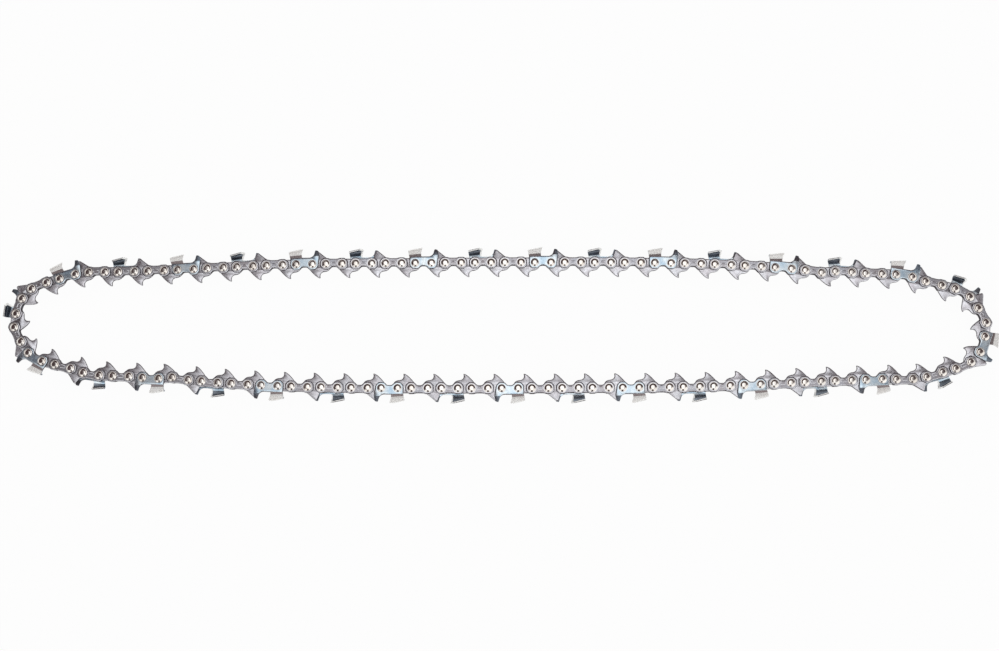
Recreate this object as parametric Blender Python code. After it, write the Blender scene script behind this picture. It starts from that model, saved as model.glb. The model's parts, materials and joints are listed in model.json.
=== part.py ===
"""Saw chain, a closed loop laid on its side.

The loop lies in the XY plane and the cutters alternate between the far side (down, -Z) and the
near side (up, +Z). Links are numbered clockwise from the left end. Link k joins rivet k to rivet
k + 1: odd links are drive links, even links are the outer links that hold them, either a cutter
with a tie strap or a pair of tie straps. In every link's own frame the rear rivet is the origin,
+X points the way the chain travels and +Y points out of the loop.
"""
from math import cos, pi, radians, sin, sqrt, tan

import bmesh
import bpy
from mathutils import Matrix, Vector

MM = 0.001

# Chain
DRIVE_LINKS = 68
STRAP_PITCH = 10.14 * MM        # rivet to rivet in a tie strap or cutter
DRIVE_PITCH = 8.50 * MM         # rivet to rivet in a drive link
GAUGE = 1.30 * MM               # drive link thickness, which fits the bar's groove
STRAP_THICKNESS = 1.20 * MM
KERF = 6.40 * MM                # from one side's cutter corners to the other's
SIDE_CLEARANCE = 0.05 * MM      # between a drive link and each outer plate

# Rivet
HUB_RADIUS = 1.95 * MM
TENON_RADIUS = 1.30 * MM
HEAD_RADIUS = 2.45 * MM
HEAD_HEIGHT = 0.55 * MM
CROWN_SHARE = 0.72              # the head's crown starts at this share of its radius
SHOULDER_SHARE = 0.8            # and at this share of its height
HOLE_CLEARANCE = 0.05 * MM
SEAT_CLEARANCE = 0.03 * MM      # between the rivet's shoulders and the plates that it holds
ROUND_SIDES = 8

# Tie strap
LOBE_RADIUS = 3.60 * MM
LOBE_CHAMFER = 1.70 * MM
OUTER_EDGE = 3.40 * MM          # height of the straight outer edge above the rivets
WAIST_DEPTH = 1.80 * MM         # the waist's edge below the rivets

# Drive link
DRIVE_LOBE = 3.10 * MM
DRIVE_TOP = 3.20 * MM
SHOULDER_REACH = 1.86 * MM      # how far the straight top reaches past each rivet
CHEEK_DEPTH = 0.93 * MM         # the lobes are widest this far below the rivets
DRIVE_HEEL = 4.20 * MM          # lowest point of the front lobe
HEEL_REACH = 1.55 * MM          # how far ahead of the front rivet it is
TANG_BACK = 0.31 * MM           # the tang's back edge starts this far behind the rear rivet
TANG_ROOT = 5.00 * MM
TANG_DEPTH = 8.90 * MM          # from the rivets to the tang's tip, which runs in the bar's groove
TANG_TIP = 5.10 * MM            # how far ahead of the rear rivet the tip is
TANG_TIP_WIDTH = 0.90 * MM
TANG_BELLY = 3.00 * MM          # the back edge bends this far behind the tip
BELLY_RISE = 1.50 * MM          # and this far above it
HOOK_DEPTH = 2.00 * MM          # the hooked front edge, from the tang's root to its narrowest place
HOOK_WAIST = 0.20 * MM          # how far behind the tip that place is
HOOK_ROOT = 1.20 * MM           # how far ahead of the tip the hook starts
RAMP_HEIGHT = 8.00 * MM         # bumper ramp ahead of the depth gauge
RAMP_START = 0.90 * MM
RAMP_PEAK = 2.60 * MM
RAMP_FLAT = 1.00 * MM

# Cutter
CHASSIS_TOP = 4.10 * MM         # bottom of the gullet
CHASSIS_TAIL = 3.60 * MM
PLATE_TAIL = 4.20 * MM          # how far the top plate reaches behind the rear rivet
PLATE_NOSE = 4.90 * MM          # how far the cutting corner reaches ahead of it
PLATE_HIGH = 9.40 * MM          # cutting corner
PLATE_LOW = 7.80 * MM           # back of the top plate
PLATE_THICKNESS = 1.00 * MM
PLATE_WIDTH = 3.80 * MM
CORNER_CHAMFER = 0.45 * MM
SIDE_FLAT = 1.50 * MM           # straight outer face of the side plate below its corner
SIDE_RAKE = 1.00 * MM           # how far the side plate's front edge leans forward
FOOT_DEPTH = 0.50 * MM          # how far the side plate's foot is sunk into the chassis
FOOT_INSET = 0.10 * MM          # and how far inside its two faces
FILING_ANGLE = radians(30)
GAUGE_START = 1.40 * MM         # depth gauge, ahead of the front rivet
GAUGE_END = 4.50 * MM
GAUGE_HIGH = 8.60 * MM
GAUGE_SLOPE = 0.60 * MM

# Heights from the chain's middle plane, and that plane's own height: the cutters stand on the ground
INNER_FACE = GAUGE / 2 + SIDE_CLEARANCE
OUTER_FACE = INNER_FACE + STRAP_THICKNESS
MIDDLE = KERF / 2

# Route of the rivets over half the loop, in mm, clockwise from the left end. The other half is
# the same route turned half a turn.
HALF_ROUTE = (
    (-301.1, -1.3), (-300.3, 6.9), (-297.0, 16.6), (-291.7, 22.5), (-282.6, 26.6), (-274.4, 28.9),
    (-264.5, 31.9), (-256.5, 33.2), (-246.0, 33.5), (-237.3, 33.4), (-218.9, 34.1), (-200.0, 34.8),
    (-163.0, 36.6), (-125.5, 38.1), (-50.7, 38.9), (23.9, 39.2), (98.7, 38.8), (136.2, 37.8),
    (173.1, 35.8), (191.7, 34.0), (201.7, 32.5), (210.0, 33.3), (228.5, 32.0), (247.1, 31.3),
    (257.0, 29.7), (264.9, 27.0), (274.8, 24.6), (283.1, 22.4), (291.8, 17.3), (296.6, 10.4),
)
ROUTE_STEPS = 24                # points on the curve between two points of the route

# Stretches of links made as one piece along the top, by first and last link, and the links
# round the two ends that are made by themselves
TOP_SECTIONS = ((6, 10), (12, 18), (20, 26), (28, 34), (36, 42), (44, 50), (52, 58), (60, 64))
LEFT_OUTER_LINKS = (134, 136, 2, 4)
OPEN_OUTER_LINKS = (66, 68, 70, 72)
LEFT_DRIVE_LINKS = (135, 1, 3, 5)
RIGHT_DRIVE_LINKS = (67, 69, 71, 73)
TOP_DRIVE_LINKS = (11, 19, 27, 35, 43, 51, 59, 65)

SCALE_MARGIN = 0.02             # the loop's true scale lies within this share of the first guess
HALVINGS = 50
CUT_MARGIN = 1.00 * MM          # how far the tool of a hole stands out of the plate
WELD_DISTANCE = 0.002 * MM
FLAT_ANGLE = radians(0.2)       # faces that meet at less than this are one flat face
SMOOTH_ANGLE = radians(30)

STEEL = (0.36, 0.36, 0.38)
BLUE_STEEL = (0.22, 0.30, 0.42)
NICKEL = (0.75, 0.74, 0.72)
STEEL_ROUGHNESS = 0.35
NICKEL_ROUGHNESS = 0.15


def curve_point(before, start, end, after, t):
    """Point on the smooth curve that runs from start to end and heads past its neighbours."""
    d0 = sqrt((start - before).length)
    d1 = sqrt((end - start).length)
    d2 = sqrt((after - end).length)
    leave = d1 * ((start - before) / d0 - (end - before) / (d0 + d1) + (end - start) / d1)
    arrive = d1 * ((end - start) / d1 - (after - start) / (d1 + d2) + (after - end) / d2)
    return ((2 * t**3 - 3 * t**2 + 1) * start + (t**3 - 2 * t**2 + t) * leave
            + (3 * t**2 - 2 * t**3) * end + (t**3 - t**2) * arrive)


def drawn_route():
    """Closely spaced points of the smooth route, from its first point to just past the opposite one."""
    half = [Vector(p) * MM for p in HALF_ROUTE]
    ring = half + [-p for p in half]
    points = []
    for i in range(len(half) + 2):
        around = [ring[(i + j) % len(ring)] for j in (-1, 0, 1, 2)]
        points += [curve_point(*around, step / ROUTE_STEPS) for step in range(ROUTE_STEPS)]
    return points


def step_along(route, at, place, reach):
    """Next place on the route that is reach away from the last place, and the index before it."""
    while (route[at + 1] - place).length < reach:
        at += 1
    start = route[at]
    run = route[at + 1] - start
    gap = start - place
    b = run.dot(gap)
    root = sqrt(b * b - run.length_squared * (gap.length_squared - reach * reach))
    return at, start + run * ((root - b) / run.length_squared)


def walk(route):
    """Rivets of half the loop on a route, and how far past its end the last one comes."""
    places = [route[0]]
    at = 0
    for link in range(DRIVE_LINKS):
        reach = DRIVE_PITCH if link % 2 == 0 else STRAP_PITCH
        at, place = step_along(route, at, places[-1], reach)
        places.append(place)
    past = (places[-1] + route[0]).dot((route[at + 1] - route[at]).normalized())
    return places, past


def lay_out():
    """All the rivet centres on the route, scaled so that the links close the loop exactly."""
    drawn = drawn_route()
    half = drawn[:len(HALF_ROUTE) * ROUTE_STEPS + 1]
    drawn_length = sum((b - a).length for a, b in zip(half, half[1:]))
    guess = DRIVE_LINKS * (STRAP_PITCH + DRIVE_PITCH) / 2 / drawn_length
    low = guess * (1 - SCALE_MARGIN)
    high = guess * (1 + SCALE_MARGIN)
    for _ in range(HALVINGS):
        scale = (low + high) / 2
        places, past = walk([p * scale for p in drawn])
        if past > 0:
            low = scale
        else:
            high = scale
    first = places[:-1]
    return first + [-p for p in first]


RIVETS = lay_out()
LINKS = len(RIVETS)


def number(link):
    """A link's number, counted on round the loop."""
    return (link - 1) % LINKS + 1


def link_frame(link):
    """Where a link lies: its rear rivet, turned to its front rivet, on the middle plane."""
    rear = RIVETS[number(link) - 1]
    front = RIVETS[number(link + 1) - 1]
    along = (front - rear).normalized()
    return Matrix((
        (along.x, -along.y, 0, rear.x),
        (along.y, along.x, 0, rear.y),
        (0, 0, 1, MIDDLE),
        (0, 0, 0, 1),
    ))


def cutter_side(link):
    """+1 for a near-side cutter, -1 for a far-side one and 0 for any other link."""
    if number(link) % 4 != 2:
        return 0
    return 1 if number(link) // 4 % 2 else -1


def strap_outline():
    """Tie strap: two lobes, a straight outer edge and a notched waist between flat feet."""
    r, c = LOBE_RADIUS, LOBE_CHAMFER
    rear = [(c - r, OUTER_EDGE), (-r, 0), (c - r, -r), (r - c, -r), (r, -WAIST_DEPTH)]
    return rear + [(STRAP_PITCH - x, y) for x, y in reversed(rear)]


def chassis_outline():
    """Cutter's flat lower plate with its depth gauge: a strap below, raised above."""
    r, c = LOBE_RADIUS, LOBE_CHAMFER
    front = STRAP_PITCH
    return [
        (-CHASSIS_TAIL, CHASSIS_TOP), (-CHASSIS_TAIL, 0), (c - r, -r), (r - c, -r),
        (r, -WAIST_DEPTH), (front - r, -WAIST_DEPTH), (front + c - r, -r), (front + r - c, -r),
        (front + r, 0), (front + GAUGE_END, CHASSIS_TOP),
        (front + GAUGE_END, GAUGE_HIGH - GAUGE_SLOPE), (front + GAUGE_START + GAUGE_SLOPE, GAUGE_HIGH),
        (front + GAUGE_START, CHASSIS_TOP),
    ]


def drive_outline(ramp):
    """Drive link: a rounded body between the straps and a hooked tang that leans forward."""
    front = DRIVE_PITCH
    tip = TANG_TIP
    rear = [(-SHOULDER_REACH, DRIVE_TOP), (-DRIVE_LOBE, -CHEEK_DEPTH)]
    back = [(-TANG_BACK, -TANG_ROOT), (tip - TANG_BELLY, BELLY_RISE - TANG_DEPTH)]
    edge = [(tip - TANG_TIP_WIDTH, -TANG_DEPTH), (tip, -TANG_DEPTH)]
    hook = [(tip - HOOK_WAIST, -TANG_ROOT - HOOK_DEPTH), (tip + HOOK_ROOT, -TANG_ROOT)]
    heel = [(front + HEEL_REACH, -DRIVE_HEEL), (front + DRIVE_LOBE, -CHEEK_DEPTH)]
    top = [(front + SHOULDER_REACH, DRIVE_TOP)]
    if ramp:
        top += [(RAMP_PEAK + RAMP_FLAT, RAMP_HEIGHT), (RAMP_PEAK, RAMP_HEIGHT),
                (RAMP_START, DRIVE_TOP)]
    return rear + back + edge + hook + heel + top


def circle(radius, sides=ROUND_SIDES):
    return [(radius * cos(2 * pi * i / sides), radius * sin(2 * pi * i / sides))
            for i in range(sides)]


def clear_radius(radius, sides=ROUND_SIDES):
    """Corner radius of a faceted hole whose flats clear a shaft of that radius."""
    return (radius + HOLE_CLEARANCE) / cos(pi / sides)


def add_prism(bm, outline, low, high, frame):
    """A flat plate of one outline between two heights."""
    lower = [bm.verts.new(frame @ Vector((x, y, low))) for x, y in outline]
    upper = [bm.verts.new(frame @ Vector((x, y, high))) for x, y in outline]
    faces = [bm.faces.new(lower), bm.faces.new(upper)]
    for i in range(len(outline)):
        j = (i + 1) % len(outline)
        faces.append(bm.faces.new((lower[i], lower[j], upper[j], upper[i])))
    bmesh.ops.recalc_face_normals(bm, faces=faces)


def add_turned(bm, profile, frame, sides=ROUND_SIDES):
    """A closed solid turned from (radius, height) points that start and end on the axis."""
    rings = [[bm.verts.new(frame @ Vector((x, y, height))) for x, y in circle(radius, sides)]
             for radius, height in profile[1:-1]]
    bottom = bm.verts.new(frame @ Vector((0, 0, profile[0][1])))
    top = bm.verts.new(frame @ Vector((0, 0, profile[-1][1])))
    faces = []
    for i in range(sides):
        j = (i + 1) % sides
        faces.append(bm.faces.new((bottom, rings[0][j], rings[0][i])))
        faces.append(bm.faces.new((top, rings[-1][i], rings[-1][j])))
        for a, b in zip(rings, rings[1:]):
            faces.append(bm.faces.new((a[i], a[j], b[j], b[i])))
    bmesh.ops.recalc_face_normals(bm, faces=faces)


def add_cutter_top(bm, side, frame):
    """Side plate that flares out of the chassis and turns over into the top plate.

    It is lofted from a section at its back to a higher one at the cutting edge, which is filed
    back from the corner.
    """
    corner = KERF / 2
    edge = corner - PLATE_WIDTH
    foot = CHASSIS_TOP - FOOT_DEPTH
    ends = []
    for high, back in ((PLATE_LOW, True), (PLATE_HIGH, False)):
        under = high - PLATE_THICKNESS
        section = [
            (OUTER_FACE - FOOT_INSET, foot), (corner, high - CORNER_CHAMFER - SIDE_FLAT),
            (corner, high - CORNER_CHAMFER), (corner - CORNER_CHAMFER, high), (edge, high),
            (edge, under), (corner - STRAP_THICKNESS - CORNER_CHAMFER, under),
            (INNER_FACE + FOOT_INSET, foot),
        ]
        ring = []
        for out, y in section:
            if back:
                x = FOOT_DEPTH - CHASSIS_TAIL if y == foot else -PLATE_TAIL
            else:
                x = PLATE_NOSE - (SIDE_RAKE if y == foot else (corner - out) * tan(FILING_ANGLE))
            ring.append(bm.verts.new(frame @ Vector((x, y, out * side))))
        ends.append(ring)
    back, nose = ends
    faces = [bm.faces.new(back), bm.faces.new(nose)]
    for i in range(len(back)):
        j = (i + 1) % len(back)
        faces.append(bm.faces.new((back[i], back[j], nose[j], nose[i])))
    bmesh.ops.recalc_face_normals(bm, faces=faces)
    bmesh.ops.triangulate(bm, faces=faces)


def mesh_object(name, bm):
    """An object from a mesh that was built where the part has it."""
    mesh = bpy.data.meshes.new(name)
    bm.to_mesh(mesh)
    bm.free()
    thing = bpy.data.objects.new(name, mesh)
    bpy.context.scene.collection.objects.link(thing)
    return thing


def combine(thing, bm, operation):
    """Join or cut an object with the solids of a bmesh, and keep the result as its mesh."""
    other = mesh_object(thing.name + "_tool", bm)
    boolean = thing.modifiers.new(operation.lower(), "BOOLEAN")
    boolean.operation = operation
    boolean.object = other
    bpy.context.view_layer.update()
    evaluated = thing.evaluated_get(bpy.context.evaluated_depsgraph_get())
    result = bpy.data.meshes.new_from_object(evaluated)
    thing.modifiers.clear()
    thing.data = result
    bpy.data.objects.remove(other)


def tidy(thing):
    """Drop the edges that a cut leaves inside flat faces."""
    bm = bmesh.new()
    bm.from_mesh(thing.data)
    bmesh.ops.remove_doubles(bm, verts=bm.verts, dist=WELD_DISTANCE)
    bmesh.ops.dissolve_limit(bm, angle_limit=FLAT_ANGLE, verts=bm.verts, edges=bm.edges)
    bm.to_mesh(thing.data)
    bm.free()


def finish(thing, frame, colour, rough=STEEL_ROUGHNESS):
    """Set the object's origin on its rear rivet and give it its material."""
    thing.data.transform(frame.inverted())
    thing.matrix_world = frame
    material = bpy.data.materials.new(thing.name)
    material.use_nodes = True
    shader = material.node_tree.nodes["Principled BSDF"]
    shader.inputs["Base Color"].default_value = (*colour, 1)
    shader.inputs["Metallic"].default_value = 1
    shader.inputs["Roughness"].default_value = rough
    thing.data.materials.clear()
    thing.data.materials.append(material)
    thing.data.shade_smooth()
    thing.data.set_sharp_from_angle(angle=SMOOTH_ANGLE)


def side_span(side, low, high):
    """Two heights on one side of the middle plane, lowest first."""
    return (low, high) if side > 0 else (-high, -low)


def make_section(name, first, last):
    """A stretch of links made as one piece, with a rivet hub for the next drive link at each end."""
    flat, tops, core = bmesh.new(), bmesh.new(), bmesh.new()
    for link in range(first, last + 1, 2):
        frame = link_frame(link)
        for side in (-1, 1):
            cutter = cutter_side(link) == side
            outline = chassis_outline() if cutter else strap_outline()
            add_prism(flat, outline, *side_span(side, INNER_FACE, OUTER_FACE), frame)
            if cutter:
                add_cutter_top(tops, side, frame)
    for link in range(first + 1, last, 2):
        add_prism(core, drive_outline(cutter_side(link - 1)), -INNER_FACE, INNER_FACE, link_frame(link))
    for rivet in (first, last + 1):
        add_prism(core, circle(HUB_RADIUS), -INNER_FACE, INNER_FACE, link_frame(rivet))
    section = mesh_object(name, flat)
    if tops.verts:
        combine(section, tops, "UNION")
    combine(section, core, "UNION")
    tidy(section)
    finish(section, link_frame(first), STEEL)


def make_drive_link(link):
    """A drive link that turns on the hubs of both its rivets."""
    frame = link_frame(link)
    plate, holes = bmesh.new(), bmesh.new()
    add_prism(plate, drive_outline(cutter_side(link - 1)), -GAUGE / 2, GAUGE / 2, frame)
    thing = mesh_object(f"drive_link_{number(link):03d}", plate)
    for along in (0, DRIVE_PITCH):
        add_prism(holes, circle(clear_radius(HUB_RADIUS)), -GAUGE / 2 - CUT_MARGIN,
                  GAUGE / 2 + CUT_MARGIN, frame @ Matrix.Translation((along, 0, 0)))
    combine(thing, holes, "DIFFERENCE")
    tidy(thing)
    finish(thing, frame, STEEL)


def make_outer_plate(link, side):
    """One plate of an open outer link, with a hole for each rivet."""
    frame = link_frame(link)
    cutter = cutter_side(link) == side
    kind = "tie_strap"
    if cutter:
        kind = "right_cutter" if side > 0 else "left_cutter"
    face = "near" if side > 0 else "far"
    span = side_span(side, INNER_FACE, OUTER_FACE)
    flat, tops, holes = bmesh.new(), bmesh.new(), bmesh.new()
    add_prism(flat, chassis_outline() if cutter else strap_outline(), *span, frame)
    thing = mesh_object(f"{kind}_{link:03d}_{face}", flat)
    if cutter:
        add_cutter_top(tops, side, frame)
        combine(thing, tops, "UNION")
    for along in (0, STRAP_PITCH):
        add_prism(holes, circle(clear_radius(TENON_RADIUS)), span[0] - CUT_MARGIN,
                  span[1] + CUT_MARGIN, frame @ Matrix.Translation((along, 0, 0)))
    combine(thing, holes, "DIFFERENCE")
    tidy(thing)
    finish(thing, frame, BLUE_STEEL if cutter else STEEL)


def make_rivet(link, along, place):
    """A rivet: a hub for the drive link, a tenon through each plate and a domed head on each."""
    hub = INNER_FACE - SEAT_CLEARANCE
    seat = OUTER_FACE + SEAT_CLEARANCE
    half = [
        (HUB_RADIUS, hub), (TENON_RADIUS, hub), (TENON_RADIUS, seat), (HEAD_RADIUS, seat),
        (HEAD_RADIUS * CROWN_SHARE, seat + HEAD_HEIGHT * SHOULDER_SHARE), (0, seat + HEAD_HEIGHT),
    ]
    profile = [(radius, -height) for radius, height in reversed(half)] + half
    frame = link_frame(link) @ Matrix.Translation((along, 0, 0))
    bm = bmesh.new()
    add_turned(bm, profile, frame)
    finish(mesh_object(f"rivet_{link:03d}_{place}", bm), frame, NICKEL, NICKEL_ROUGHNESS)


def build():
    for thing in list(bpy.data.objects):
        bpy.data.objects.remove(thing)
    half = LINKS // 2
    for first, last in TOP_SECTIONS:
        for turn in (0, half):
            make_section(f"links_{first + turn:03d}_{last + turn:03d}", first + turn, last + turn)
    for link in LEFT_OUTER_LINKS:
        make_section(f"outer_link_{link:03d}", link, link)
    for link in OPEN_OUTER_LINKS:
        make_outer_plate(link, -1)
        make_outer_plate(link, 1)
        make_rivet(link, 0, "rear")
        make_rivet(link, STRAP_PITCH, "front")
    for link in TOP_DRIVE_LINKS:
        make_drive_link(link)
        make_drive_link(link + half)
    for link in LEFT_DRIVE_LINKS + RIGHT_DRIVE_LINKS:
        make_drive_link(link)


build()
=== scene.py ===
"""Looks of the saw chain: grey links, blue cutters with chromed tops and bright rivets on a white table.

The loop lies in the XY plane with the near side up. In every link's own frame the rear rivet is the
origin, +X points the way the chain travels, +Y points out of the loop and +Z points to the near side.
"""
import json
from math import cos, pi, radians, sin, sqrt, tan

import bmesh
import bpy
from mathutils import Matrix, Vector
from mathutils.geometry import tessellate_polygon

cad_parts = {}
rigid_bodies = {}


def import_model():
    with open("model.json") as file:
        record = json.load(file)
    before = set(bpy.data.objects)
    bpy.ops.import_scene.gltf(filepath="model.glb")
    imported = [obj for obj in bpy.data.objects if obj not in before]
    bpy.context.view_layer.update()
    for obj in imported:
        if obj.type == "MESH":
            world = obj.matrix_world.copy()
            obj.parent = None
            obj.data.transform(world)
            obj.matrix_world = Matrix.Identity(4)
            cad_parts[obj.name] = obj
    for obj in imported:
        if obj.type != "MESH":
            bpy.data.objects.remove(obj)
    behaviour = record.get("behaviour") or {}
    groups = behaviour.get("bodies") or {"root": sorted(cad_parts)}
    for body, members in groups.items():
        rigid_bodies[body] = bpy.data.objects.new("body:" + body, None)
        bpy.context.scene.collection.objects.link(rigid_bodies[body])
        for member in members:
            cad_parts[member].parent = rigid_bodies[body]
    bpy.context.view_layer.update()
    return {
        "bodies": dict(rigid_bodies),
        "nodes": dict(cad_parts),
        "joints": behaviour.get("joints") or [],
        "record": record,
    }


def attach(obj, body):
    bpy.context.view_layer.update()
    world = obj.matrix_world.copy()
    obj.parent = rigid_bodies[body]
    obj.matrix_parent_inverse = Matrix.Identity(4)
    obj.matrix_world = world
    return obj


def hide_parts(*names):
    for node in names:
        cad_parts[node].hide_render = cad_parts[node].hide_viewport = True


MM = 0.001

# Chain, with the construction's sizes
DRIVE_LINKS = 68
STRAP_PITCH = 10.14 * MM
DRIVE_PITCH = 8.50 * MM
GAUGE = 1.30 * MM
STRAP_THICKNESS = 1.20 * MM
KERF = 6.40 * MM
SIDE_CLEARANCE = 0.05 * MM
INNER_FACE = GAUGE / 2 + SIDE_CLEARANCE
OUTER_FACE = INNER_FACE + STRAP_THICKNESS
MIDDLE = KERF / 2

# Rivet
HUB_RADIUS = 1.95 * MM
TENON_RADIUS = 1.30 * MM
HEAD_HEIGHT = 0.55 * MM
HOLE_CLEARANCE = 0.05 * MM
SEAT_CLEARANCE = 0.03 * MM
HEAD_PROFILE = (                # radius and height in mm: a thin flange, a steep shoulder, a flat crown
    (2.60, 0.0), (2.59, 0.03), (2.44, 0.15), (2.34, 0.16), (2.05, 0.275), (1.80, 0.373),
    (1.55, 0.458), (1.32, 0.515), (0.90, 0.54), (0.45, 0.547),
)
RIVET_SIDES = 32

# Cutter
FILING_ANGLE = radians(30)
PLATE_TAIL = 4.20 * MM
PLATE_NOSE = 4.90 * MM
PLATE_HIGH = 9.40 * MM
PLATE_LOW = 7.80 * MM
PLATE_THICKNESS = 1.00 * MM
PLATE_WIDTH = 3.80 * MM
CORNER_ROUND = 1.15 * MM        # outside radius of the bend between side plate and top plate
FLARE_ANGLE = radians(36)       # how far the side plate leans out at its foot; it curves upright
FLARE_START = 3.95 * MM
FLARE_STEPS = 5
CORNER_TURNS = 5
PLATE_STATIONS = 6              # steps along the plates, from the back to the filed front
SHADED_FOOT_STEPS = 3                  # steps from the foot whose outer skin takes the dark brown of painted shade
BLUE_STEPS = 2                  # steps from the foot whose inner skin is blue; above them it is painted dark as shade under the top plate
EDGE_ROUND = 0.36 * MM          # rounding of the top plate's inner edge
FOOT_LEVEL = 3.60 * MM          # the side plate's foot, sunk into the flat below it
FOOT_INSET = 0.12 * MM
FOOT_TAIL = 3.55 * MM
NOSE_HOLLOW = 0.55 * MM         # how deep the filed front edge is hollowed
NOSE_RAKE = 0.80 * MM           # how far its foot lies behind its corner
GROUND_EDGE = 0.55 * MM         # width of the ground face behind the cutting edge
DARK_ABOVE = 4.90 * MM          # from this height up the depth gauge's tip is painted dark: painted shade

# Edges of the stampings. The inner face is cut sharp. The outer one is rolled over: a rim in the polished
# colour, partly a painted highlight, with a shoulder outside it in the dark cut-edge colour, a painted dark
# outline; each as (how far in from the wall, how far below the face)
SHARP_EDGE = 0.08 * MM
RIM = (0.52 * MM, 0.0)
SHOULDER = (0.19 * MM, 0.12 * MM)
WALL_TOP = (0.0, 0.40 * MM)
BOSS_RADIUS = 2.95 * MM         # this far round each rivet the face takes the polished colour: partly polish, partly a painted highlight
HOLE_SIDES = 24
SHARPEST = 0.5                  # a corner sharper than this is moved in as this one is
SMOOTH_ANGLE = radians(20)

# Route of the rivets over half the loop, in mm, as the construction has it
HALF_ROUTE = (
    (-301.1, -1.3), (-300.3, 6.9), (-297.0, 16.6), (-291.7, 22.5), (-282.6, 26.6), (-274.4, 28.9),
    (-264.5, 31.9), (-256.5, 33.2), (-246.0, 33.5), (-237.3, 33.4), (-218.9, 34.1), (-200.0, 34.8),
    (-163.0, 36.6), (-125.5, 38.1), (-50.7, 38.9), (23.9, 39.2), (98.7, 38.8), (136.2, 37.8),
    (173.1, 35.8), (191.7, 34.0), (201.7, 32.5), (210.0, 33.3), (228.5, 32.0), (247.1, 31.3),
    (257.0, 29.7), (264.9, 27.0), (274.8, 24.6), (283.1, 22.4), (291.8, 17.3), (296.6, 10.4),
)
ROUTE_STEPS = 24
SCALE_SPAN = 0.02               # the route's scale is looked for this far to each side of a first guess
HALVINGS = 50

# Order of the materials on a cutter. A strap or a drive link has the first three
FLAT, WALL, EDGE, CHROMED, SHADED_FOOT, INSIDE, GROUND, DARK = range(8)

# Outlines in a link's own frame, in mm: x, y and how far along both edges the corner's rounding starts
STRAP_LOBES = (
    (2.6, 3.1, 1.2), (1.4, 3.6, 0.6), (-1.7, 3.6, 0.7), (-3.7, 1.6, 0.7), (-3.7, -1.6, 0.7),
    (-1.7, -3.7, 0.7), (1.7, -3.7, 0.7), (3.6, -1.8, 0.8),
)
CHASSIS_REAR = (
    (-3.6, 4.1, 0.6), (-3.6, -1.5, 0.7), (-1.7, -3.7, 0.7), (1.7, -3.7, 0.7), (3.6, -1.8, 0.8),
)
CHASSIS_FRONT = (
    (-3.6, -1.8, 0.8), (-1.7, -3.7, 0.7), (1.7, -3.7, 0.7), (3.6, -1.5, 0.8), (4.5, 4.6, 0.5),
    (3.9, 8.2, 0.6), (2.0, 8.6, 0.5), (1.0, 5.2, 1.2), (-1.0, 4.0, 0.9),
)
DRIVE_BODY = (
    (-1.6, 3.2, 0.8), (-3.0, 1.4, 0.8), (-3.0, -2.0, 0.8), (-0.4, -5.2, 1.2), (2.3, -7.8, 1.0),
    (4.2, -8.9, 0.5), (5.1, -8.9, 0.3), (4.8, -7.3, 0.8), (5.3, -5.9, 0.6), (6.5, -5.1, 0.7),
    (8.9, -4.8, 0.7), (10.6, -3.9, 0.8), (11.6, -1.8, 0.8), (11.5, 1.3, 0.8), (10.1, 3.2, 0.8),
)
RAMP = ((8.6, 4.0, 1.2), (3.7, 8.0, 0.5), (2.5, 8.0, 0.4), (1.5, 5.3, 1.3), (0.6, 3.2, 0.8))
CORNER_STEPS = 4

# Shallow groove along a tie strap's waist
GROOVE_END = 4.1 * MM           # from each rivet to the groove's end
GROOVE_HALF = 1.00 * MM
GROOVE_DEPTH = 0.20 * MM
GROOVE_SLOPE = 0.30 * MM
GROOVE_TURNS = 6

# Colours, as reflectance
STEEL = (0.51, 0.52, 0.57)
STEEL_BROWN = (0.44, 0.41, 0.43)
# Painted light: the drive links' two tones are set well above the straps' steel to make up for the shade
# the straps cast on them
DRIVE_STEEL = (0.80, 0.81, 0.86)
DRIVE_BROWN = (0.66, 0.64, 0.68)
BLUE_STEEL = (0.52, 0.67, 0.80)
BLUE_PALE = (0.84, 0.91, 0.95)
CHROME = (0.96, 0.96, 0.94)
CHROME_WARM = (0.91, 0.89, 0.86)
# Painted shade: the dark brown on the lowest steps of the side plate's outer skin, where it rises out of
# the flat
FOOT_SHADE_COLOUR = (0.34, 0.29, 0.29)
NICKEL = (0.88, 0.85, 0.81)
NICKEL_WARM = (0.78, 0.72, 0.66)
# Dark cut edges, partly the sheared steel's own colour and partly painted shade: the dark outlines round
# the plates, the rim's shoulder and the top plate's rounded inner edge
CUT_EDGE_AND_PAINTED_SHADE = (0.10, 0.09, 0.10)
# Painted shade: the dark of the hollow under the top plate, on the side plate's inner skin and the top
# plate's underside
UNDERSIDE_SHADE = (0.15, 0.17, 0.20)
UNDERSIDE_SHADE_PALE = (0.24, 0.27, 0.31)
# Polished edges, partly polish and partly a painted highlight: rims, rings round the rivets and groove
# slopes
POLISH_AND_HIGHLIGHT = (0.65, 0.65, 0.68)
BLUE_POLISH_AND_HIGHLIGHT = (0.66, 0.74, 0.80)
# Painted shade: the dark of the depth gauge's tip
GAUGE_TIP_SHADE = (0.22, 0.26, 0.31)
TABLE_WHITE = (0.93, 0.93, 0.93)
WHITE = (1.0, 1.0, 1.0)
DARK_ROOM = (0.055, 0.035, 0.038)

# Patterns in the metal. The first four are in waves per metre
PATCHES = 160
SPECKLE = 1900
SMEARS = 700
GRAIN = 3200
GRAIN_HEIGHT = 0.02 * MM
PATCH_EDGE = (0.36, 0.66)       # the noise from where the second tone starts to where it is full
NOISE_RANGE = (0.3, 0.7)        # nearly all of the noise lies in here
SPECKLE_GLINT = 0.6             # how far a speckle brightens, for each step that it darkens
LOT_SPREAD = (0.92, 1.06)       # brightness of the darkest plate and of the brightest one
SHINIEST, DULLEST = 0.85, 1.2   # roughness in the smears, as shares of the metal's own

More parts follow.
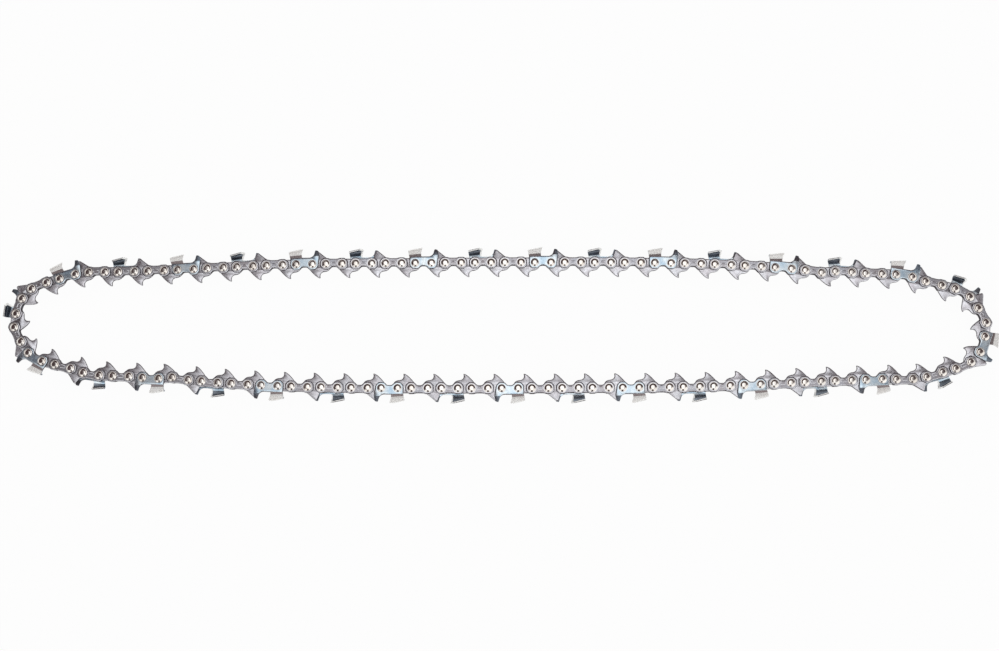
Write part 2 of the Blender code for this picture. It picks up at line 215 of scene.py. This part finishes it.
# Sockets of a Mix node that mixes colours
MIX_FACTOR, MIX_FIRST, MIX_SECOND, MIX_RESULT = 0, 6, 7, 2

# Camera, lamp and table
CAMERA_AT = (0.0217, -0.0910, 0.8675)
CAMERA_TURN = (radians(6.0), radians(1.30), radians(0.12))
SENSOR = 36.0
FOCAL_PIXELS = 1400
PICTURE_WIDTH = 999
LENS = FOCAL_PIXELS / PICTURE_WIDTH * SENSOR
LAMP_AT = (0.08, 0.14, 1.3)
LAMP_SIDE = 0.8
LAMP_POWER = 0.8
TABLE_REACH = 6.0
TABLE_ROUGHNESS = 0.9
TABLE_OWN_LIGHT = 0.05          # share of the table's own light, with the shadow, that the camera sees

# The room round the chain. Each pair is a ramp, from where it starts to where it ends, over the way
# out of the room's middle, which has x to the right, y to the far side and z up
ROOM_LIGHT = 1.15
CEILING_LEFT = (-0.29, -0.09)
CEILING_RIGHT = (0.10, 0.28)
CEILING_FAR = (0.26, 0.40)
CEILING_FOOT = (0.74, 0.86)
NEAR_WALL = (-0.28, -0.06)
NEAR_WALL_SLANT = 0.3           # how far its edge goes to the far side with each step to the right
STAND_SIDE = (0.0, 0.06)
STAND_SLANT = 0.3               # how much wider the stand gets with each step to the near side
STAND_TOP = (-0.32, -0.22)
STAND_FOOT = (0.15, 0.25)
HORIZON = (0.50, 0.66)


def curve_point(before, start, end, after, t):
    """Point on the smooth curve that runs from start to end and heads past its neighbours."""
    d0 = sqrt((start - before).length)
    d1 = sqrt((end - start).length)
    d2 = sqrt((after - end).length)
    leave = d1 * ((start - before) / d0 - (end - before) / (d0 + d1) + (end - start) / d1)
    arrive = d1 * ((end - start) / d1 - (after - start) / (d1 + d2) + (after - end) / d2)
    return ((2 * t**3 - 3 * t**2 + 1) * start + (t**3 - 2 * t**2 + t) * leave
            + (3 * t**2 - 2 * t**3) * end + (t**3 - t**2) * arrive)


def drawn_route():
    """Closely spaced points of the smooth route, from its first point to just past the opposite one."""
    half = [Vector(p) * MM for p in HALF_ROUTE]
    ring = half + [-p for p in half]
    points = []
    for i in range(len(half) + 2):
        around = [ring[(i + j) % len(ring)] for j in (-1, 0, 1, 2)]
        points += [curve_point(*around, step / ROUTE_STEPS) for step in range(ROUTE_STEPS)]
    return points


def step_along(route, at, place, reach):
    """Next place on the route that is reach away from the last place, and the index before it."""
    while (route[at + 1] - place).length < reach:
        at += 1
    start = route[at]
    run = route[at + 1] - start
    gap = start - place
    b = run.dot(gap)
    root = sqrt(b * b - run.length_squared * (gap.length_squared - reach * reach))
    return at, start + run * ((root - b) / run.length_squared)


def walk(route):
    """Rivets of half the loop on a route, and how far past its end the last one comes."""
    places = [route[0]]
    at = 0
    for link in range(DRIVE_LINKS):
        reach = DRIVE_PITCH if link % 2 == 0 else STRAP_PITCH
        at, place = step_along(route, at, places[-1], reach)
        places.append(place)
    past = (places[-1] + route[0]).dot((route[at + 1] - route[at]).normalized())
    return places, past


def lay_out():
    """All the rivet centres on the route, scaled so that the links close the loop exactly."""
    drawn = drawn_route()
    half = drawn[:len(HALF_ROUTE) * ROUTE_STEPS + 1]
    drawn_length = sum((b - a).length for a, b in zip(half, half[1:]))
    guess = DRIVE_LINKS * (STRAP_PITCH + DRIVE_PITCH) / 2 / drawn_length
    low, high = guess * (1 - SCALE_SPAN), guess * (1 + SCALE_SPAN)
    for _ in range(HALVINGS):
        scale = (low + high) / 2
        places, past = walk([p * scale for p in drawn])
        if past > 0:
            low = scale
        else:
            high = scale
    first = places[:-1]
    return first + [-p for p in first]


def number(link):
    """A link's number, counted on round the loop."""
    return (link - 1) % len(RIVETS) + 1


def link_frame(link):
    """Where a link lies: its rear rivet, turned to its front rivet, on the middle plane."""
    rear = RIVETS[number(link) - 1]
    front = RIVETS[number(link + 1) - 1]
    along = (front - rear).normalized()
    return Matrix((
        (along.x, -along.y, 0, rear.x),
        (along.y, along.x, 0, rear.y),
        (0, 0, 1, MIDDLE),
        (0, 0, 0, 1),
    ))


def cutter_side(link):
    """+1 for a near-side cutter, -1 for a far-side one and 0 for any other link.

    The first cutter is link 2, on the far side. Every fourth link is one, and the sides take turns.
    """
    if number(link) % 4 != 2:
        return 0
    return 1 if number(link) // 4 % 2 else -1


def rounded(corners):
    """Outline in metres whose corners (x, y, cut, in mm) are rounded from cut before to cut after."""
    points = []
    count = len(corners)
    for i in range(count):
        at = Vector(corners[i][:2])
        cut = corners[i][2]
        start = at + (Vector(corners[i - 1][:2]) - at).normalized() * cut
        end = at + (Vector(corners[(i + 1) % count][:2]) - at).normalized() * cut
        for step in range(CORNER_STEPS + 1):
            t = step / CORNER_STEPS
            points.append(((1 - t) ** 2 * start + 2 * t * (1 - t) * at + t * t * end) * MM)
    return points


def shifted(corners, along):
    return [(x + along / MM, y, cut) for x, y, cut in corners]


def mirrored(corners, middle):
    """The same corners on the other side of a line across the link, in the order that carries on."""
    return [(2 * middle / MM - x, y, cut) for x, y, cut in reversed(corners)]


def strap_outline():
    return rounded(list(STRAP_LOBES) + mirrored(STRAP_LOBES, STRAP_PITCH / 2))


def chassis_outline():
    return rounded(list(CHASSIS_REAR) + shifted(CHASSIS_FRONT, STRAP_PITCH))


def drive_outline(ramp):
    return rounded(DRIVE_BODY + (RAMP if ramp else ()))


def hole(x, radius, sides=HOLE_SIDES):
    """A round hole's rim, clockwise so that the metal is on its left."""
    return [Vector((x + radius * cos(2 * pi * i / sides), -radius * sin(2 * pi * i / sides)))
            for i in range(sides)]


def groove():
    """The rim of the groove in a strap's waist, clockwise."""
    rim = []
    for x, start in ((STRAP_PITCH - GROOVE_END, pi / 2), (GROOVE_END, -pi / 2)):
        for step in range(GROOVE_TURNS + 1):
            angle = start - pi * step / GROOVE_TURNS
            rim.append(Vector((x + GROOVE_HALF * cos(angle), GROOVE_HALF * sin(angle))))
    return rim


def inset(ring, by):
    """The ring moved to the left of its run, which is into the metal."""
    moved = []
    for i, at in enumerate(ring):
        before = (at - ring[i - 1]).normalized()
        after = (ring[(i + 1) % len(ring)] - at).normalized()
        middle = (before + after).normalized()
        left = Vector((-middle.y, middle.x))
        square = Vector((-before.y, before.x))
        moved.append(at + left * (by / max(left.dot(square), SHARPEST)))
    return moved


def add_ring(bm, ring, height):
    return [bm.verts.new((p.x, p.y, height)) for p in ring]


def add_strip(bm, lower, upper, material):
    for i in range(len(lower)):
        j = (i + 1) % len(lower)
        bm.faces.new((lower[i], lower[j], upper[j], upper[i])).material_index = material


def add_flat(bm, rings, up, material):
    """A flat face between an outer ring and the rings of its holes."""
    verts = [v for ring in rings for v in ring]
    for a, b, c in tessellate_polygon([[v.co for v in ring] for ring in rings]):
        face = bm.faces.new((verts[a], verts[b], verts[c]))
        face.material_index = material
        face.normal_update()
        if (face.normal.z > 0) != up:
            face.normal_flip()


def add_plate(bm, outline, holes, low, high, two_sided=False, grooves=()):
    """A stamped plate with round holes, eased edges and grooves in its upper face.

    A one-sided plate is cut sharp below and has a ring in the polished colour, partly polish and partly a
    painted highlight, round each hole's upper rim. A two-sided one has its edges rolled on both faces.
    """
    # The shoulder takes the walls' dark colour as a painted dark outline, and the flat rim takes the
    # polished colour as a painted highlight
    rolled = [(WALL_TOP, WALL), (SHOULDER, WALL), (RIM, EDGE)]
    steps = [(SHARP_EDGE, low, FLAT), (0.0, low + SHARP_EDGE, WALL)]
    if two_sided:
        steps = [(across, low + down, material) for (across, down), material in reversed(rolled)]
    steps += [(across, high - down, material) for (across, down), material in rolled]
    bottoms, tops = [], []
    for ring in [outline] + holes:
        levels = [add_ring(bm, inset(ring, across), height) for across, height, _ in steps]
        for lower, upper, (_, _, material) in zip(levels, levels[1:], steps[1:]):
            add_strip(bm, lower, upper, material)
        bottoms.append(levels[0])
        if ring is outline or two_sided:
            tops.append(levels[-1])
            continue
        # A flat ring in the polished colour round the hole: partly polish, partly a painted highlight
        boss = add_ring(bm, inset(ring, BOSS_RADIUS - TENON_RADIUS - HOLE_CLEARANCE), high)
        add_strip(bm, levels[-1], boss, EDGE)
        tops.append(boss)
    # The groove's slopes take the polished colour: partly polish, partly a painted highlight
    for ring in grooves:
        rim = add_ring(bm, ring, high)
        floor = add_ring(bm, inset(ring, -GROOVE_SLOPE), high - GROOVE_DEPTH)
        add_strip(bm, floor, rim, EDGE)
        add_flat(bm, [floor], True, FLAT)
        tops.append(rim)
    add_flat(bm, bottoms, False, FLAT)
    add_flat(bm, tops, True, FLAT)


def add_turned(bm, profile):
    """A closed solid turned about the Z axis from (radius, height) points, with both ends on it."""
    rings = []
    for radius, height in profile[1:-1]:
        rings.append(add_ring(bm, list(reversed(hole(0, radius, RIVET_SIDES))), height))
    bottom = bm.verts.new((0, 0, profile[0][1]))
    top = bm.verts.new((0, 0, profile[-1][1]))
    for lower, upper in zip(rings, rings[1:]):
        add_strip(bm, lower, upper, 0)
    for i in range(RIVET_SIDES):
        j = (i + 1) % RIVET_SIDES
        bm.faces.new((bottom, rings[0][j], rings[0][i]))
        bm.faces.new((top, rings[-1][i], rings[-1][j]))


def plate_section(high):
    """Section through side plate and top plate, in (out, up): the outer skin, then the inner one.

    The side plate leans out at its foot and curves upright, and a round corner turns it over.
    """
    rise = high - CORNER_ROUND - FLARE_START
    corner = OUTER_FACE + rise * tan(FLARE_ANGLE / 2)
    radius = rise / sin(FLARE_ANGLE)
    level = high - CORNER_ROUND
    edge = KERF / 2 - PLATE_WIDTH
    outer = [(OUTER_FACE - FOOT_INSET, FOOT_LEVEL)]
    inner = [(INNER_FACE + FOOT_INSET, FOOT_LEVEL)]
    for step in range(FLARE_STEPS + 1):
        angle = FLARE_ANGLE * (step / FLARE_STEPS - 1)
        for skin, arc in ((outer, radius), (inner, radius - PLATE_THICKNESS)):
            skin.append((corner - radius + arc * cos(angle), level + arc * sin(angle)))
    for step in range(1, CORNER_TURNS + 1):
        angle = pi / 2 * step / CORNER_TURNS
        for skin, arc in ((outer, CORNER_ROUND), (inner, CORNER_ROUND - PLATE_THICKNESS)):
            skin.append((corner - CORNER_ROUND + arc * cos(angle), level + arc * sin(angle)))
    under = high - PLATE_THICKNESS
    outer += [(edge + EDGE_ROUND, high), (edge, high - EDGE_ROUND)]
    inner += [(edge + EDGE_ROUND, under), (edge, under)]
    return outer, inner


def back_place(up, high):
    """How far back the plates reach: the top plate overhangs the flat by a little."""
    rise = min(max((up - FOOT_LEVEL) / (high - CORNER_ROUND - FOOT_LEVEL), 0), 1)
    return -FOOT_TAIL - (PLATE_TAIL - FOOT_TAIL) * rise


def nose_place(out, up, inside):
    """How far ahead the filed front reaches: back from the corner, and hollow down the side plate."""
    corner = KERF / 2
    drop = min(max((PLATE_HIGH - up) / (PLATE_HIGH - FOOT_LEVEL), 0), 1)
    behind = (corner - out) * tan(FILING_ANGLE) * (1 - drop)
    behind += NOSE_HOLLOW * sin(pi * drop) + NOSE_RAKE * drop
    return PLATE_NOSE - behind - (GROUND_EDGE if inside else 0)


def skin_finish(step, steps, inside):
    """The material of one step of the plates' section, counted from the foot."""
    # Inner skin: blue at the foot, and painted shade above it, under the top plate
    if inside:
        return FLAT if step < BLUE_STEPS else INSIDE
    # The last outer step, the top plate's rounded inner edge, takes the dark cut-edge colour: painted shade
    if step == steps - 1:
        return WALL
    # The lowest outer steps carry painted shade at the foot
    return SHADED_FOOT if step < SHADED_FOOT_STEPS else CHROMED


def add_cutter_top(bm):
    """Side plate that flares out of the flat and turns over into the top plate, for the near side."""
    rings = []
    for station in range(PLATE_STATIONS + 1):
        t = station / PLATE_STATIONS
        high = PLATE_LOW + (PLATE_HIGH - PLATE_LOW) * t
        outer, inner = plate_section(high)
        skins = []
        for inside, points in ((False, outer), (True, inner)):
            skins.append([
                bm.verts.new((back_place(up, high) * (1 - t) + nose_place(out, up, inside) * t, up, out))
                for out, up in points
            ])
        rings.append(skins)
    faces = []
    steps = len(rings[0][0]) - 1
    for (outer, inner), (outer_ahead, inner_ahead) in zip(rings, rings[1:]):
        for i in range(steps):
            skin = skin_finish(i, steps, inside=False)
            faces.append((outer[i], outer[i + 1], outer_ahead[i + 1], outer_ahead[i], skin))
            skin = skin_finish(i, steps, inside=True)
            faces.append((inner[i], inner_ahead[i], inner_ahead[i + 1], inner[i + 1], skin))
        faces.append((outer[-1], inner[-1], inner_ahead[-1], outer_ahead[-1], GROUND))
        faces.append((outer[0], outer_ahead[0], inner_ahead[0], inner[0], INSIDE))
    for (outer, inner), material in ((rings[0], INSIDE), (rings[-1], GROUND)):
        for i in range(steps):
            faces.append((outer[i], outer[i + 1], inner[i + 1], inner[i], material))
    made = []
    for *corners, material in faces:
        face = bm.faces.new(corners)
        face.material_index = material
        made.append(face)
    bmesh.ops.recalc_face_normals(bm, faces=made)


def template(name, bm, far=False):
    """A mesh to be copied to many links. The far side's is the near side's, mirrored."""
    if far:
        bmesh.ops.scale(bm, vec=(1, 1, -1), verts=bm.verts)
        bmesh.ops.reverse_faces(bm, faces=bm.faces)
    mesh = bpy.data.meshes.new(name)
    bm.to_mesh(mesh)
    bm.free()
    return mesh


def strap_template(far):
    bm = bmesh.new()
    holes = [hole(x, TENON_RADIUS + HOLE_CLEARANCE) for x in (0, STRAP_PITCH)]
    add_plate(bm, strap_outline(), holes, INNER_FACE, OUTER_FACE, grooves=[groove()])
    return template("tie_strap", bm, far)


def cutter_template(far):
    flat = bmesh.new()
    holes = [hole(x, TENON_RADIUS + HOLE_CLEARANCE) for x in (0, STRAP_PITCH)]
    add_plate(flat, chassis_outline(), holes, INNER_FACE, OUTER_FACE)
    bmesh.ops.bisect_plane(flat, geom=flat.verts[:] + flat.edges[:] + flat.faces[:],
                           plane_co=(0, DARK_ABOVE, 0), plane_no=(0, 1, 0))
    # Painted shade: the depth gauge's tip above DARK_ABOVE gets the dark material
    for face in flat.faces:
        if face.calc_center_median().y > DARK_ABOVE:
            face.material_index = DARK
    add_cutter_top(flat)
    return template("cutter", flat, far)


def drive_template(ramp):
    bm = bmesh.new()
    holes = [hole(x, HUB_RADIUS + HOLE_CLEARANCE) for x in (0, DRIVE_PITCH)]
    add_plate(bm, drive_outline(ramp), holes, -GAUGE / 2, GAUGE / 2, two_sided=True)
    return template("drive_link", bm)


def rivet_template():
    """Hub, two tenons and two spun heads."""
    hub = INNER_FACE - SEAT_CLEARANCE
    seat = OUTER_FACE + SEAT_CLEARANCE
    half = [(HUB_RADIUS, hub), (TENON_RADIUS, hub), (TENON_RADIUS, seat)]
    half += [(radius * MM, seat + height * MM) for radius, height in HEAD_PROFILE]
    half.append((0, seat + HEAD_HEIGHT))
    profile = [(radius, -height) for radius, height in reversed(half)] + half
    bm = bmesh.new()
    add_turned(bm, profile)
    return template("rivet", bm)


def nodes_of(material):
    material.use_nodes = True
    tree = material.node_tree
    return tree, tree.nodes["Principled BSDF"]


def noise(tree, scale, detail=4):
    """Noise in the piece's own space, with the scale in waves per metre."""
    place = tree.nodes.new("ShaderNodeTexCoord")
    texture = tree.nodes.new("ShaderNodeTexNoise")
    texture.inputs["Scale"].default_value = scale
    texture.inputs["Detail"].default_value = detail
    tree.links.new(place.outputs["Object"], texture.inputs["Vector"])
    return texture.outputs["Fac"]


def spread(tree, value, start, end, at_start=0, at_end=1):
    """A ramp over a value: at_start up to its start, and at_end from its end on."""
    node = tree.nodes.new("ShaderNodeMapRange")
    bounds = {"From Min": start, "From Max": end, "To Min": at_start, "To Max": at_end}
    for socket, bound in bounds.items():
        node.inputs[socket].default_value = bound
    tree.links.new(value, node.inputs["Value"])
    return node.outputs["Result"]


def arithmetic(tree, operation, first, second=0.0):
    """One step of arithmetic on two values. Each may be a number or a socket."""
    node = tree.nodes.new("ShaderNodeMath")
    node.operation = operation
    for socket, value in zip(node.inputs, (first, second)):
        if isinstance(value, float):
            socket.default_value = value
        else:
            tree.links.new(value, socket)
    return node.outputs[0]


def mix_levels(tree, factor, first, second):
    """From the first brightness to the second by a factor. The second may be a number."""
    mix = tree.nodes.new("ShaderNodeMix")
    tree.links.new(factor, mix.inputs["Factor"])
    tree.links.new(first, mix.inputs["A"])
    if isinstance(second, float):
        mix.inputs["B"].default_value = second
    else:
        tree.links.new(second, mix.inputs["B"])
    return mix.outputs["Result"]


def blend_colours(tree, factor, first, second, mode="MIX"):
    """Two colours mixed by a factor. Each may be a colour or a socket."""
    mix = tree.nodes.new("ShaderNodeMix")
    mix.data_type = "RGBA"
    mix.blend_type = mode
    for socket, colour in ((mix.inputs[MIX_FIRST], first), (mix.inputs[MIX_SECOND], second)):
        if isinstance(colour, tuple):
            socket.default_value = (*colour, 1)
        else:
            tree.links.new(colour, socket)
    if isinstance(factor, float):
        mix.inputs[MIX_FACTOR].default_value = factor
    else:
        tree.links.new(factor, mix.inputs[MIX_FACTOR])
    return mix.outputs[MIX_RESULT]


def metal(name, colour, other, rough, grain=0.15, vary=0.16, metallic=1.0):
    """Worn metal: two tones in soft patches, a fine grain, and a brightness of its own for each plate."""
    material = bpy.data.materials.new(name)
    tree, shader = nodes_of(material)
    patches = spread(tree, noise(tree, PATCHES), *PATCH_EDGE)
    tone = blend_colours(tree, patches, colour, other)
    darkest, brightest = 1 - vary, 1 + vary * SPECKLE_GLINT
    speckle = spread(tree, noise(tree, SPECKLE, detail=3), *NOISE_RANGE, darkest, brightest)
    island = tree.nodes.new("ShaderNodeNewGeometry").outputs["Random Per Island"]
    lot = spread(tree, island, 0, 1, *LOT_SPREAD)
    shade = arithmetic(tree, "MULTIPLY", speckle, lot)
    grey = tree.nodes.new("ShaderNodeCombineColor")
    for channel in ("Red", "Green", "Blue"):
        tree.links.new(shade, grey.inputs[channel])
    tone = blend_colours(tree, 1.0, tone, grey.outputs["Color"], "MULTIPLY")
    tree.links.new(tone, shader.inputs["Base Color"])
    shader.inputs["Metallic"].default_value = metallic
    smears = spread(tree, noise(tree, SMEARS), *NOISE_RANGE, rough * SHINIEST, rough * DULLEST)
    tree.links.new(smears, shader.inputs["Roughness"])
    bump = tree.nodes.new("ShaderNodeBump")
    bump.inputs["Strength"].default_value = grain
    bump.inputs["Distance"].default_value = GRAIN_HEIGHT
    tree.links.new(noise(tree, GRAIN, detail=2), bump.inputs["Height"])
    tree.links.new(bump.outputs["Normal"], shader.inputs["Normal"])
    return material


def make_piece(name, parts, materials, body, replaced):
    """One piece from (template, frame) pairs, riding on a body and standing for its CAD nodes."""
    bm = bmesh.new()
    for mesh, frame in parts:
        start = len(bm.verts)
        bm.from_mesh(mesh)
        bm.verts.ensure_lookup_table()
        bmesh.ops.transform(bm, matrix=frame, verts=bm.verts[start:])
    mesh = bpy.data.meshes.new(name)
    bm.to_mesh(mesh)
    bm.free()
    for material in materials:
        mesh.materials.append(material)
    mesh.shade_smooth()
    mesh.set_sharp_from_angle(angle=SMOOTH_ANGLE)
    piece = bpy.data.objects.new(name, mesh)
    bpy.context.scene.collection.objects.link(piece)
    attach(piece, body)
    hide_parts(*replaced)


def links_of(body):
    """The links of a body, from the first and the last one in its name."""
    digits = [int(word) for word in body.split("_") if word.isdigit()]
    return range(digits[0], digits[-1] + 1)


def dress(body, nodes, shapes, finish):
    """Build the pieces of one body, each standing for its own CAD nodes or for the body's only one."""
    straps, drives, rights, lefts, rivets = [], [], [], [], []
    for link in links_of(body):
        place = link_frame(link)
        if link % 2:
            shape = shapes["ramped" if cutter_side(link - 1) else "plain"]
            drives.append((shape, place))
            continue
        for side, face in ((-1, "far"), (1, "near")):
            if cutter_side(link) != side:
                straps.append((shapes["strap_" + face], place))
            elif side > 0:
                rights.append((shapes["cutter_near"], place))
            else:
                lefts.append((shapes["cutter_far"], place))
        for along in (0, STRAP_PITCH):
            rivets.append((shapes["rivet"], place @ Matrix.Translation((along, 0, 0))))
    link_metals = [finish[k] for k in ("steel", "cut", "polish and highlight")]
    cutter_finish = ("blue", "cut", "blue edge", "chrome", "shaded foot", "inside", "ground", "gauge tip shade")
    cutter_metals = [finish[k] for k in cutter_finish]
    kinds = (
        ("tie_straps", straps, link_metals, "link_steel", "tie_strap"),
        ("drive_links", drives, [finish["drive steel"]] + link_metals[1:], "link_steel", "drive_link"),
        ("right_cutters", rights, cutter_metals, "cutter_steel", "right_cutter"),
        ("left_cutters", lefts, cutter_metals, "cutter_steel", "left_cutter"),
        ("rivets", rivets, [finish["nickel"]], "rivet_steel", "rivet"),
    )
    for kind, parts, materials, slot, prefix in kinds:
        if not parts:
            continue
        own = [node for node in nodes if node.startswith(prefix)]
        make_piece(f"{body}-{kind}", parts, materials, body, own or nodes)


def white_to_camera(tree, shader, own):
    """Let the camera and the metal see white, and leave a share of the surface's own light in it."""
    path = tree.nodes.new("ShaderNodeLightPath")
    mirrored_too = arithmetic(tree, "MAXIMUM", path.outputs["Is Camera Ray"], path.outputs["Is Glossy Ray"])
    all_three = arithmetic(tree, "MAXIMUM", mirrored_too, path.outputs["Is Transmission Ray"])
    share = arithmetic(tree, "MULTIPLY", all_three, 1 - own)
    glow = tree.nodes.new("ShaderNodeEmission")
    glow.inputs["Color"].default_value = (*WHITE, 1)
    glow.inputs["Strength"].default_value = 1
    mix = tree.nodes.new("ShaderNodeMixShader")
    tree.links.new(share, mix.inputs["Fac"])
    tree.links.new(shader, mix.inputs[1])
    tree.links.new(glow.outputs[0], mix.inputs[2])
    return mix.outputs[0]


def make_table():
    mesh = bpy.data.meshes.new("table")
    corners = [(TABLE_REACH * x, TABLE_REACH * y, 0) for x, y in ((-1, -1), (1, -1), (1, 1), (-1, 1))]
    mesh.from_pydata(corners, [], [(0, 1, 2, 3)])
    table = bpy.data.objects.new("table", mesh)
    bpy.context.scene.collection.objects.link(table)
    material = bpy.data.materials.new("white table")
    tree, shader = nodes_of(material)
    shader.inputs["Base Color"].default_value = (*TABLE_WHITE, 1)
    shader.inputs["Roughness"].default_value = TABLE_ROUGHNESS
    shader.inputs["Specular IOR Level"].default_value = 0
    seen = white_to_camera(tree, shader.outputs[0], TABLE_OWN_LIGHT)
    tree.links.new(seen, tree.nodes["Material Output"].inputs["Surface"])
    mesh.materials.append(material)


def make_world():
    """A studio that rivets and plates mirror.

    A bright ceiling stands over the chain's middle, a bright wall on the near side and a white horizon
    all round. The rest is dark: the far side, the two sides, and a narrow stand in the near wall.
    """
    world = bpy.data.worlds.new("studio")
    bpy.context.scene.world = world
    world.use_nodes = True
    tree = world.node_tree
    background = tree.nodes["Background"]
    place = tree.nodes.new("ShaderNodeTexCoord")
    axes = tree.nodes.new("ShaderNodeSeparateXYZ")
    tree.links.new(place.outputs["Generated"], axes.inputs[0])
    x, y, z = axes.outputs

    def compute(operation, first, second=0.0):
        return arithmetic(tree, operation, first, second)

    def rising(value, ramp):
        return spread(tree, value, *ramp)

    def falling(value, ramp):
        return spread(tree, value, *ramp, 1, 0)

    ceiling = compute("MINIMUM", rising(x, CEILING_LEFT), falling(x, CEILING_RIGHT))
    ceiling = compute("MINIMUM", ceiling, falling(y, CEILING_FAR))
    wall = falling(compute("SUBTRACT", y, compute("MULTIPLY", x, NEAR_WALL_SLANT)), NEAR_WALL)
    ceiling = compute("MAXIMUM", ceiling, wall)
    upper = mix_levels(tree, rising(z, CEILING_FOOT), wall, ceiling)
    level = mix_levels(tree, falling(z, HORIZON), upper, 1.0)
    aside = compute("ADD", compute("ABSOLUTE", x), compute("MULTIPLY", y, STAND_SLANT))
    past_stand = compute("MAXIMUM", rising(aside, STAND_SIDE), rising(y, STAND_TOP))
    past_stand = compute("MAXIMUM", past_stand, falling(z, STAND_FOOT))
    level = compute("MULTIPLY", level, past_stand)
    tone = blend_colours(tree, level, DARK_ROOM, WHITE)
    tree.links.new(tone, background.inputs["Color"])
    background.inputs["Strength"].default_value = ROOM_LIGHT


def make_lamp():
    """A soft box that shines on the middle of the chain."""
    data = bpy.data.lights.new("overhead", "AREA")
    data.shape = "SQUARE"
    data.size = LAMP_SIDE
    data.energy = LAMP_POWER
    lamp = bpy.data.objects.new("overhead", data)
    lamp.location = LAMP_AT
    lamp.rotation_euler = (-Vector(LAMP_AT)).to_track_quat("-Z", "Y").to_euler()
    bpy.context.scene.collection.objects.link(lamp)


def make_camera():
    data = bpy.data.cameras.new("camera")
    data.sensor_width = SENSOR
    data.lens = LENS
    camera = bpy.data.objects.new("camera", data)
    camera.location = CAMERA_AT
    camera.rotation_euler = CAMERA_TURN
    bpy.context.scene.collection.objects.link(camera)
    bpy.context.scene.camera = camera


def make_shapes():
    """One mesh for each kind of piece, to be copied to the links."""
    return {
        "strap_near": strap_template(False),
        "strap_far": strap_template(True),
        "cutter_near": cutter_template(False),
        "cutter_far": cutter_template(True),
        "plain": drive_template(False),
        "ramped": drive_template(True),
        "rivet": rivet_template(),
    }


def make_finishes():
    return {
        "steel": metal("strap steel", STEEL, STEEL_BROWN, 0.32),
        # Drive links brightened as painted light against the straps' shade
        "drive steel": metal("drive link steel", DRIVE_STEEL, DRIVE_BROWN, 0.32),
        # Dark cut edges, partly painted shade along the outlines
        "cut": metal("cut edges", CUT_EDGE_AND_PAINTED_SHADE, CUT_EDGE_AND_PAINTED_SHADE, 0.5, vary=0.3),
        "blue": metal("blue steel", BLUE_STEEL, BLUE_PALE, 0.27, vary=0.12),
        # Polish and painted highlight on rims, rivet rings and groove slopes
        "polish and highlight": metal("polished edges with painted highlight", POLISH_AND_HIGHLIGHT, POLISH_AND_HIGHLIGHT, 0.20, grain=0.05, vary=0.1),
        "blue edge": metal("polished blue edges with painted highlight", BLUE_POLISH_AND_HIGHLIGHT, BLUE_POLISH_AND_HIGHLIGHT, 0.20, grain=0.05, vary=0.1),
        "chrome": metal("chrome", CHROME, CHROME_WARM, 0.40, grain=0.01, vary=0.01, metallic=0.2),
        # Painted shade at the foot of the side plates
        "shaded foot": metal("chrome with painted foot shade", FOOT_SHADE_COLOUR, FOOT_SHADE_COLOUR, 0.34, grain=0.01, vary=0.01, metallic=0.7),
        # Painted shade in the hollow under the top plate
        "inside": metal("plate underside with painted shade", UNDERSIDE_SHADE, UNDERSIDE_SHADE_PALE, 0.3),
        "ground": metal("ground edge", CHROME, CHROME, 0.30, vary=0.1, metallic=0.5),
        # Painted shade on the depth gauge's tip
        "gauge tip shade": metal("painted shade on the gauge tip", GAUGE_TIP_SHADE, CUT_EDGE_AND_PAINTED_SHADE, 0.4),
        "nickel": metal("nickel", NICKEL, NICKEL_WARM, 0.13, grain=0.03, vary=0.04),
    }


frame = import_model()
RIVETS = lay_out()

make_camera()
make_table()
make_world()
make_lamp()
bpy.context.scene.view_settings.view_transform = "Standard"

shapes = make_shapes()
finish = make_finishes()
for body, nodes in frame["record"]["behaviour"]["bodies"].items():
    dress(body, nodes, shapes, finish)
